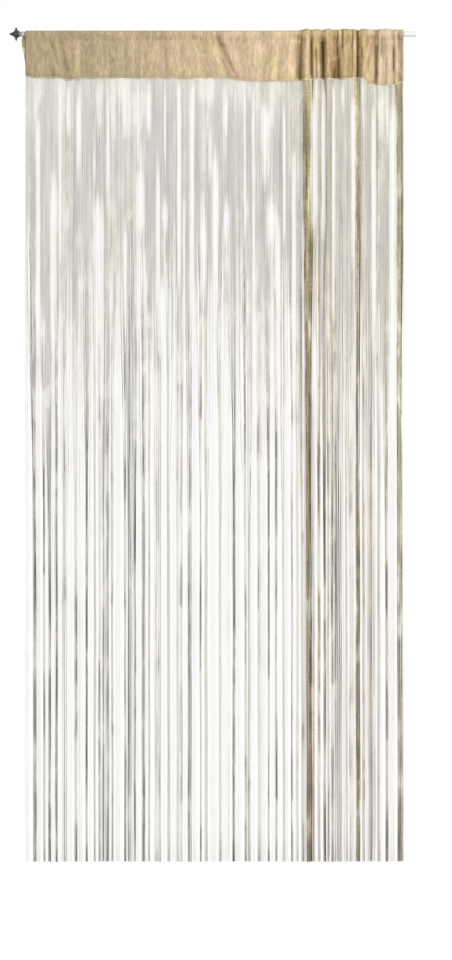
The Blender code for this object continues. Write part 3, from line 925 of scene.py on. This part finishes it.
def thread_tone(lock, home, seed, level, joined, across, stray, pale):
    """How light a thread is at a level: 1 is the yarn's own tone, 2 nearly white."""
    close = close_at(home)
    haze = 1.15 - 0.38 * smooth(level / 0.1) + 0.2 * smooth((level - 0.2) / 0.2)
    haze -= 0.22 * close
    haze += 0.6 * drift(home / 0.085, level * 2.5, 5.0)
    haze += 0.6 * drift(home / 0.032, level * 4.0, 8.0)
    haze += 0.5 * drift(home / 0.012, level * 4.5, 2.0)
    if lock.early:
        line = lock.tone * (1 + 0.3 * drift(level * 12, seed, 7.0))
    else:
        spell = drift(level * 13, lock.start * 0.37, 7.0)
        spell += 0.35 * drift(level * 9, seed, 1.0)
        lifted = mix(0.4, 1.6, smooth((lock.tone - 0.7) / 0.4))
        line = LINE_TONE * lock.tone**2.5 + lifted * smooth((spell + 0.06) / 0.26)
        line += EDGE_TONE * across * across
    tone = mix(max(0.5 + 0.4 * close, haze), line, joined)
    if stray:
        lightest = mix(1.25, STRAY_TONE, smooth((lock.tone - 0.7) / 0.5)) - 0.5 * close
        tone = mix(tone, lightest, smooth((level - 0.1) / 0.36))
    return mix(tone, STRAY_TONE, pale * (1 - joined))


def add_thread(mesh, home, lock, place, joins, stray, rng):
    """One thread: it hangs straight from its home, then joins its lock's line."""
    verts, faces, tones, warmths = mesh
    across, depth = place
    thick = EARLY_THICK if lock.early and not stray else 1.0
    seed = rng.uniform(0, 500)
    angle, turns = rng.uniform(0, 6.28), rng.uniform(-2.5, 2.5)
    width = THREAD_WIDTH * rng.uniform(0.8, 1.2) * thick
    own_tone, rank = rng.uniform(0.88, 1.12), rng.uniform(-1, 1)
    top = -drop_at(home) - CLEARANCE - TAPE_HEIGHT * 0.6
    foot = FOOT + rng.uniform(0.0, 2.2) * MM
    near = partings_near(home)
    right = smooth((home - 0.02) / 0.25)
    core = lock.early and not stray and abs(across) < EARLY_CORE
    base = len(verts)
    for step in range(THREAD_LEVELS + 1):
        level = (step / THREAD_LEVELS) ** 1.15
        z = mix(top, foot, level)
        free = smooth(level / 0.06)
        joined = 0.0 if stray else smooth((level - joins[0]) / joins[1])
        push, pale = parted(near, z)
        hangs = home + push
        hangs += 1.5 * MM * free * drift(level * 4.0, home / 0.02, 0.0)
        line = lock_line(lock, level) + across * lock_width(lock, level) / 2
        line += 1.2 * MM * drift(level * 5.0, lock.start, 3.0)
        x = mix(hangs, line, joined)
        x += 0.4 * MM * free * drift(level * 8.0, seed, 4.0)
        y = -mix(fold_at(x), fold_at(home) * (1 - 0.5 * joined), free)
        y += SWAY_DEPTH * level * math.sin(2 * math.pi * home / SWAY_LENGTH)
        if step:
            y += free * mix(1.3 * rank * MM, depth * lock_width(lock, level) * 0.35, joined)
        else:
            y -= wrinkle(x, -drop_at(x))
        swell = 1 + 0.3 * drift(level * 14, seed, 6.0)
        swell *= 1 - 0.45 * pale * (1 - joined) + (0 if lock.early else 0.35 * joined)
        if stray:
            swell *= 1 - 0.4 * smooth((level - 0.15) / 0.3)
        thread_ring(verts, (x, y, z), width * swell, angle + turns * level * 6.28)
        if core:
            joined = 1.0
        tone = own_tone * thread_tone(lock, home, seed, level, joined, across, stray, pale)
        # The hazes darken or lighten a thread; just below the gathers some are painted light
        # against the fold crests' shadow
        tone *= 1 - depth_at(HAZES, HAZE_FADE, x, z)
        warm = 0.74 + 0.05 * right + 0.18 * close_at(home)
        warm = mix(warm, mix(0.02, 0.22, right) + 0.8 * lock.warm, joined)
        warm += 0.12 * drift(home / 0.02, level * 6.0, 2.0)
        tones += [tone] * 3
        warmths += [min(1.0, max(0.0, warm))] * 3
    faces += faces_between(THREAD_LEVELS + 1, 3, base)
    last = base + THREAD_LEVELS * 3
    faces.append((base + 2, base + 1, base))
    faces.append((last, last + 1, last + 2))


def build_threads(columns, arcs, material):
    """The fine threads, a few to each string of the solid, gathered into their lines."""
    rng = random.Random(SEED + 1)
    homes = string_roots(columns, arcs, STRINGS * PLY)
    mesh = ([], [], [], [])
    edges = [lock.start * MM for lock in LOCKS[1:]] + [HUNG_WIDTH]
    for lock, edge in zip(LOCKS, edges):
        own = [home for home in homes if lock.start * MM <= home < edge]
        for index, home in enumerate(own):
            if index % PLY == 0:
                begin, reach = rng.uniform(0.10, 0.38), rng.uniform(0.18, 0.34)
            joins = (begin + rng.uniform(0, 0.02), reach)
            off = home - lock.across * MM
            order = 2 * (index + 0.5) / len(own) - 1
            stray = rng.random() < 0.85 * smooth((abs(off) - 4 * MM) / (9 * MM))
            if lock.early:
                order = off / (lock.width * 0.75 * MM)
                stray = abs(order) > 1
            order = max(-1.0, min(1.0, 0.8 * order + 0.2 * rng.uniform(-1, 1)))
            across = math.copysign(abs(order) ** (1.1 if lock.early else 1.35), order)
            depth = rng.uniform(-1, 1) * math.sqrt(1 - across * across)
            add_thread(mesh, home, lock, (across, depth), joins, stray, rng)
    verts, faces, tones, warmths = mesh
    piece = add_piece("string_threads", verts, faces, material, "string_yarn", "string_fringe")
    add_values(piece.data, "tone", tones)
    add_values(piece.data, "warmth", warmths)
    return piece


def build_tape(columns, arcs, material):
    """The narrow tape that the threads are worked into, with a rib for each thread."""
    places = string_roots(columns, arcs, STRINGS * PLY * 2)
    shape = ((0.0, 0.0), (0.5, -0.18), (0.5, -0.82), (0.0, -1.0), (-0.5, -0.82), (-0.5, -0.18))
    verts = []
    for index, x in enumerate(places):
        rib = 1.0 if index % 2 else 0.72
        y = -fold_at(x) - wrinkle(x, -drop_at(x))
        top = -drop_at(x) - CLEARANCE
        for out, down in shape:
            verts.append((x, y - out * TAPE_DEPTH * rib, top + down * TAPE_HEIGHT))
    sides = len(shape)
    faces = [(a, d, c, b) for a, b, c, d in faces_between(len(places), sides)]
    faces.append(tuple(range(sides)))
    faces.append(tuple(reversed(range(len(verts) - sides, len(verts)))))
    piece = add_piece("root_tape", verts, faces, material, "string_yarn", "string_fringe")
    add_values(piece.data, "tone", [1.0] * len(verts))
    add_values(piece.data, "warmth", [0.8] * len(verts))
    return piece


def between(p, q, r, s, t):
    """A smooth curve's value a share t of the way from q to r, with p before and s after."""
    straight = 2 * q + (r - p) * t
    bend = (2 * p - 5 * q + 4 * r - s) * t * t
    return 0.5 * (straight + bend + (3 * q - p - 3 * r + s) * t**3)


def curve_through(points, parts):
    """Points on a smooth curve through the given ones."""
    found = []
    padded = [points[0], *points, points[-1]]
    for four in zip(padded, padded[1:], padded[2:], padded[3:]):
        for part in range(parts):
            found.append(tuple(between(*values, part / parts) for values in zip(*four)))
    return [*found, points[-1]]


def build_knob(material):
    """The turned finial, smoothly turned, with the bore that takes the rod's end."""
    outer = curve_through([(row.radius * MM, row.out * MM) for row in FINIAL], 5)
    bore = ROD_RADIUS + CLEARANCE
    floor = FINIAL_MOUTH - ROD_LEFT + CLEARANCE
    profile = outer[1:] + [(bore, 0.0), (bore, floor)]
    verts = [(FINIAL_MOUTH - outer[0][1], 0.0, 0.0)]
    for radius, out in profile:
        reach = max(radius, 0.05 * MM)
        verts += [(FINIAL_MOUTH - out, reach * y, reach * z) for y, z in circle(KNOB_SIDES)]
    faces = faces_between(len(profile), KNOB_SIDES, 1)
    last = len(verts) - KNOB_SIDES
    for side in range(KNOB_SIDES):
        after = (side + 1) % KNOB_SIDES
        faces += [(0, 1 + after, 1 + side), (len(verts), last + side, last + after)]
    verts.append((FINIAL_MOUTH - floor, 0.0, 0.0))
    piece = add_piece("turned_knob", verts, faces, material, "knob_metal", "end_knob")
    piece.data.set_sharp_from_angle(angle=math.radians(40))


def add_camera():
    """The photograph's view: level and square on, through a long lens."""
    data = bpy.data.cameras.new("camera")
    data.sensor_fit = "AUTO"
    data.sensor_width = 36.0
    data.lens = data.sensor_width * VIEW_AWAY / VIEW_TALL
    data.clip_end = 200.0
    camera = bpy.data.objects.new("camera", data)
    camera.location = (VIEW_MIDDLE[0], -VIEW_AWAY, VIEW_MIDDLE[1])
    camera.rotation_euler = (math.radians(90), 0.0, 0.0)
    bpy.context.scene.collection.objects.link(camera)
    bpy.context.scene.camera = camera


def add_lights():
    """A white room with a softer fill, and one large lamp in front, right of the middle."""
    world = bpy.data.worlds.new("white_room")
    bpy.context.scene.world = world
    world.use_nodes = True
    tree = world.node_tree
    shown, fill = tree.nodes["Background"], tree.nodes.new("ShaderNodeBackground")
    for background, strength in ((shown, 1.0), (fill, ROOM_FILL)):
        background.inputs["Color"].default_value = (1.0, 1.0, 1.0, 1.0)
        background.inputs["Strength"].default_value = strength
    path = tree.nodes.new("ShaderNodeLightPath")
    chosen = tree.nodes.new("ShaderNodeMixShader")
    tree.links.new(path.outputs["Is Camera Ray"], chosen.inputs[0])
    tree.links.new(fill.outputs[0], chosen.inputs[1])
    tree.links.new(shown.outputs[0], chosen.inputs[2])
    tree.links.new(chosen.outputs[0], tree.nodes["World Output"].inputs["Surface"])
    key = bpy.data.lights.new("key", "AREA")
    key.shape = "SQUARE"
    key.size = KEY_SIZE
    key.energy = KEY_ENERGY
    key.color = (1.0, 0.985, 0.96)
    lamp = bpy.data.objects.new("key", key)
    lamp.location = KEY_PLACE
    aim = Vector(KEY_AIM) - Vector(KEY_PLACE)
    lamp.rotation_euler = aim.to_track_quat("-Z", "Y").to_euler()
    lamp.visible_camera = False
    bpy.context.scene.collection.objects.link(lamp)


def add_floor():
    """A plain pale floor below the strings, a round one that fades at its rim."""
    verts = [(FLOOR_REACH * x, FLOOR_REACH * y, FLOOR_LOW) for x, y in circle(FLOOR_SIDES)]
    mesh = bpy.data.meshes.new("floor")
    mesh.from_pydata(verts, [], [tuple(range(FLOOR_SIDES))])
    nodes = Nodes("pale_floor")
    nodes.shader.inputs["Base Color"].default_value = (0.86, 0.86, 0.85, 1.0)
    nodes.shader.inputs["Roughness"].default_value = 0.9
    flat = nodes.scaled(nodes.place(), (1.0, 1.0, 0.0))
    away = nodes.add("ShaderNodeVectorMath", {"operation": "LENGTH"}, Vector=flat)
    alpha = nodes.range(away.outputs["Value"], FLOOR_REACH * 0.6, FLOOR_REACH, 1.0, 0.0)
    nodes.feed(nodes.shader.inputs["Alpha"], alpha)
    mesh.materials.append(nodes.material)
    floor = bpy.data.objects.new("floor", mesh)
    bpy.context.scene.collection.objects.link(floor)


bpy.context.scene.view_settings.view_transform = "Standard"
add_camera()
add_lights()
add_floor()

cloth = cloth_material()
sewing = yarn_material("sewing_thread", (0.48, 0.38, 0.24), (0.50, 0.39, 0.245), 0.1)
yarn = yarn_material("twisted_yarn", (0.440, 0.430, 0.375), (0.47, 0.387, 0.185), 0.25)
# The tape's yarn is paler than the strings': painted light, so that the tape in the shade of the
# heading's lower edge does not show as a dark line
tape_yarn = yarn_material("tape_yarn", (0.60, 0.54, 0.43), (0.62, 0.54, 0.41), 0.1)
pale_metal = metal_material(
    "pale_satin_metal", (0.80, 0.81, 0.81), 0.1, 0.65, (8.0, 400.0, 400.0), 0.35
)
dark_metal = metal_material("dark_satin_metal", (0.13, 0.13, 0.13), 0.9, 0.30, (600.0, 40.0, 40.0))

heading, columns, arcs = build_heading(cloth)
stitches = build_stitches(columns, arcs, sewing)
threads = build_threads(columns, arcs, yarn)
tape = build_tape(columns, arcs, tape_yarn)
build_knob(dark_metal)

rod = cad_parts["rod"]
rod.data.materials.clear()
rod.data.materials.append(pale_metal)
